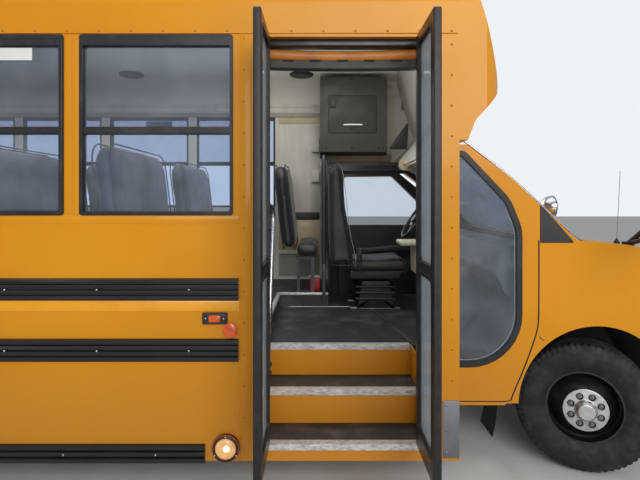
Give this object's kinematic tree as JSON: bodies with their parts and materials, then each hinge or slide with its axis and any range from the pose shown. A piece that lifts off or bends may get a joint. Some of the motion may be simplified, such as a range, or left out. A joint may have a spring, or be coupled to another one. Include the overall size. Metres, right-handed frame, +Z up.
{
  "type": "short school bus",
  "caption": "Short school bus with a van nose and a wide body, two-leaf entry door standing open, ribbed side rails, twin rear wheels and rows of padded seats.",
  "frame": {"origin": "on the ground at the middle of the bounding box", "axes": "+X forward, +Y to the bus's left, +Z up"},
  "size_m": [6.6, 3.266, 2.8327],
  "materials": {
    "bus_yellow": "semi-gloss",
    "black_paint": "satin",
    "chassis_black": "satin",
    "rim_black": "semi-gloss",
    "cast_grey": "rough",
    "dull_steel": "dull",
    "bright_metal": "polished",
    "tyre_rubber": "matt",
    "floor_rubber": "matt",
    "ribbed_aluminium": "ribbed",
    "window_glass": "clear, lightly tinted",
    "black_plastic": "fine grain",
    "grey_plastic": "fine grain",
    "lamp_clear": "clear lens",
    "lamp_red": "lens",
    "lamp_amber": "lens",
    "seat_vinyl": "grained vinyl",
    "driver_vinyl": "grained vinyl",
    "seat_steel": "satin",
    "stop_red": "reflective"
  },
  "bodies": {
    "bus": {"chassis_frame": "chassis_black", "front_axle": "chassis_black", "rear_axle": "chassis_black", "powertrain": "cast_grey", "fuel_tank": "chassis_black", "exhaust": "dull_steel", "side_right": "bus_yellow", "side_left": "bus_yellow", "entry_portal": "bus_yellow", "roof": "bus_yellow", "rear_wall": "bus_yellow", "front_cap": "bus_yellow", "floor": "floor_rubber", "cab_floor": "floor_rubber", "stepwell": "bus_yellow", "step_treads": "floor_rubber", "step_nosings": "ribbed_aluminium", "window_frames": "black_paint", "window_glass": "window_glass", "cab_side_right": "bus_yellow", "cab_side_left": "bus_yellow", "nose": "bus_yellow", "grille": "black_plastic", "headlamps": "lamp_clear", "bumpers": "black_paint", "windscreen": "window_glass", "dashboard": "grey_plastic", "steering_wheel": "black_plastic", "rub_rails": "black_paint", "warning_lamps": "lamp_red", "marker_lamps": "lamp_amber", "seat_cushions": "seat_vinyl", "seat_frames": "seat_steel", "driver_seat": "driver_vinyl", "partition": "driver_vinyl", "cabinet": "grey_plastic", "grab_rail": "bright_metal", "mirrors": "black_plastic"},
    "knuckle_right": {"knuckle_right": "cast_grey"},
    "knuckle_left": {"knuckle_left": "cast_grey"},
    "front_wheel_right": {"front_rim_right": "rim_black", "hub_cap_right": "bright_metal", "front_tyre_right": "tyre_rubber"},
    "front_wheel_left": {"front_rim_left": "rim_black", "hub_cap_left": "bright_metal", "front_tyre_left": "tyre_rubber"},
    "rear_wheels_right": {"rear_rims_right": "rim_black", "rear_tyres_right": "tyre_rubber"},
    "rear_wheels_left": {"rear_rims_left": "rim_black", "rear_tyres_left": "tyre_rubber"},
    "entry_leaf_rear": {"entry_leaf_rear": "black_paint", "entry_glass_rear": "window_glass"},
    "entry_leaf_front": {"entry_leaf_front": "black_paint", "entry_glass_front": "window_glass"},
    "rear_door": {"rear_door": "bus_yellow", "rear_door_glass": "window_glass"},
    "driver_door": {"driver_door": "bus_yellow", "driver_door_glass": "window_glass"},
    "hood": {"hood": "bus_yellow"},
    "stop_arm": {"stop_arm": "stop_red"}
  },
  "joints": [
    {"name": "steer_right", "type": "hinge", "parent": "bus", "child": "knuckle_right", "pos_m": [2.56, -0.78, 0.372], "axis": [0, 0, 1], "range_deg": [-12, 52]},
    {"name": "steer_left", "type": "hinge", "parent": "bus", "child": "knuckle_left", "pos_m": [2.56, 0.78, 0.372], "axis": [0, 0, 1], "range_deg": [-12, 52]},
    {"name": "front_wheel_right_spin", "type": "hinge", "parent": "knuckle_right", "child": "front_wheel_right", "pos_m": [2.51827, -0.89464, 0.372], "axis": [0.342, 0.9397, 0], "continuous": true},
    {"name": "front_wheel_left_spin", "type": "hinge", "parent": "knuckle_left", "child": "front_wheel_left", "pos_m": [2.60173, 0.89464, 0.372], "axis": [0.342, 0.9397, 0], "continuous": true},
    {"name": "rear_wheels_right_spin", "type": "hinge", "parent": "bus", "child": "rear_wheels_right", "pos_m": [-1.58, -0.925, 0.372], "axis": [0, 1, 0], "continuous": true},
    {"name": "rear_wheels_left_spin", "type": "hinge", "parent": "bus", "child": "rear_wheels_left", "pos_m": [-1.58, 0.925, 0.372], "axis": [0, 1, 0], "continuous": true},
    {"name": "entry_door_rear_leaf", "type": "hinge", "parent": "bus", "child": "entry_leaf_rear", "pos_m": [0.676, -1.222, 1.36], "axis": [0, 0, 1], "range_deg": [0, 90]},
    {"name": "entry_door_front_leaf", "type": "hinge", "parent": "bus", "child": "entry_leaf_front", "pos_m": [1.504, -1.222, 1.36], "axis": [0, 0, -1], "range_deg": [0, 90]},
    {"name": "rear_door_hinge", "type": "hinge", "parent": "bus", "child": "rear_door", "pos_m": [-3.193, -0.384, 1.55], "axis": [0, 0, 1], "range_deg": [0, 110]},
    {"name": "driver_door_hinge", "type": "hinge", "parent": "bus", "child": "driver_door", "pos_m": [2.207, 1.018, 1.05], "axis": [0, 0, -1], "range_deg": [0, 65]},
    {"name": "hood_hinge", "type": "hinge", "parent": "bus", "child": "hood", "pos_m": [2.54, 0, 1.275], "axis": [0, -1, 0], "range_deg": [0, 50]},
    {"name": "stop_arm_hinge", "type": "hinge", "parent": "bus", "child": "stop_arm", "pos_m": [0.98, 1.26, 1.27], "axis": [0, 0, -1], "range_deg": [0, 90]}
  ],
  "couplings": [
    {"joint": "steer_left", "follows": "steer_right", "ratio": 1},
    {"joint": "entry_door_front_leaf", "follows": "entry_door_rear_leaf", "ratio": 1}
  ]
}
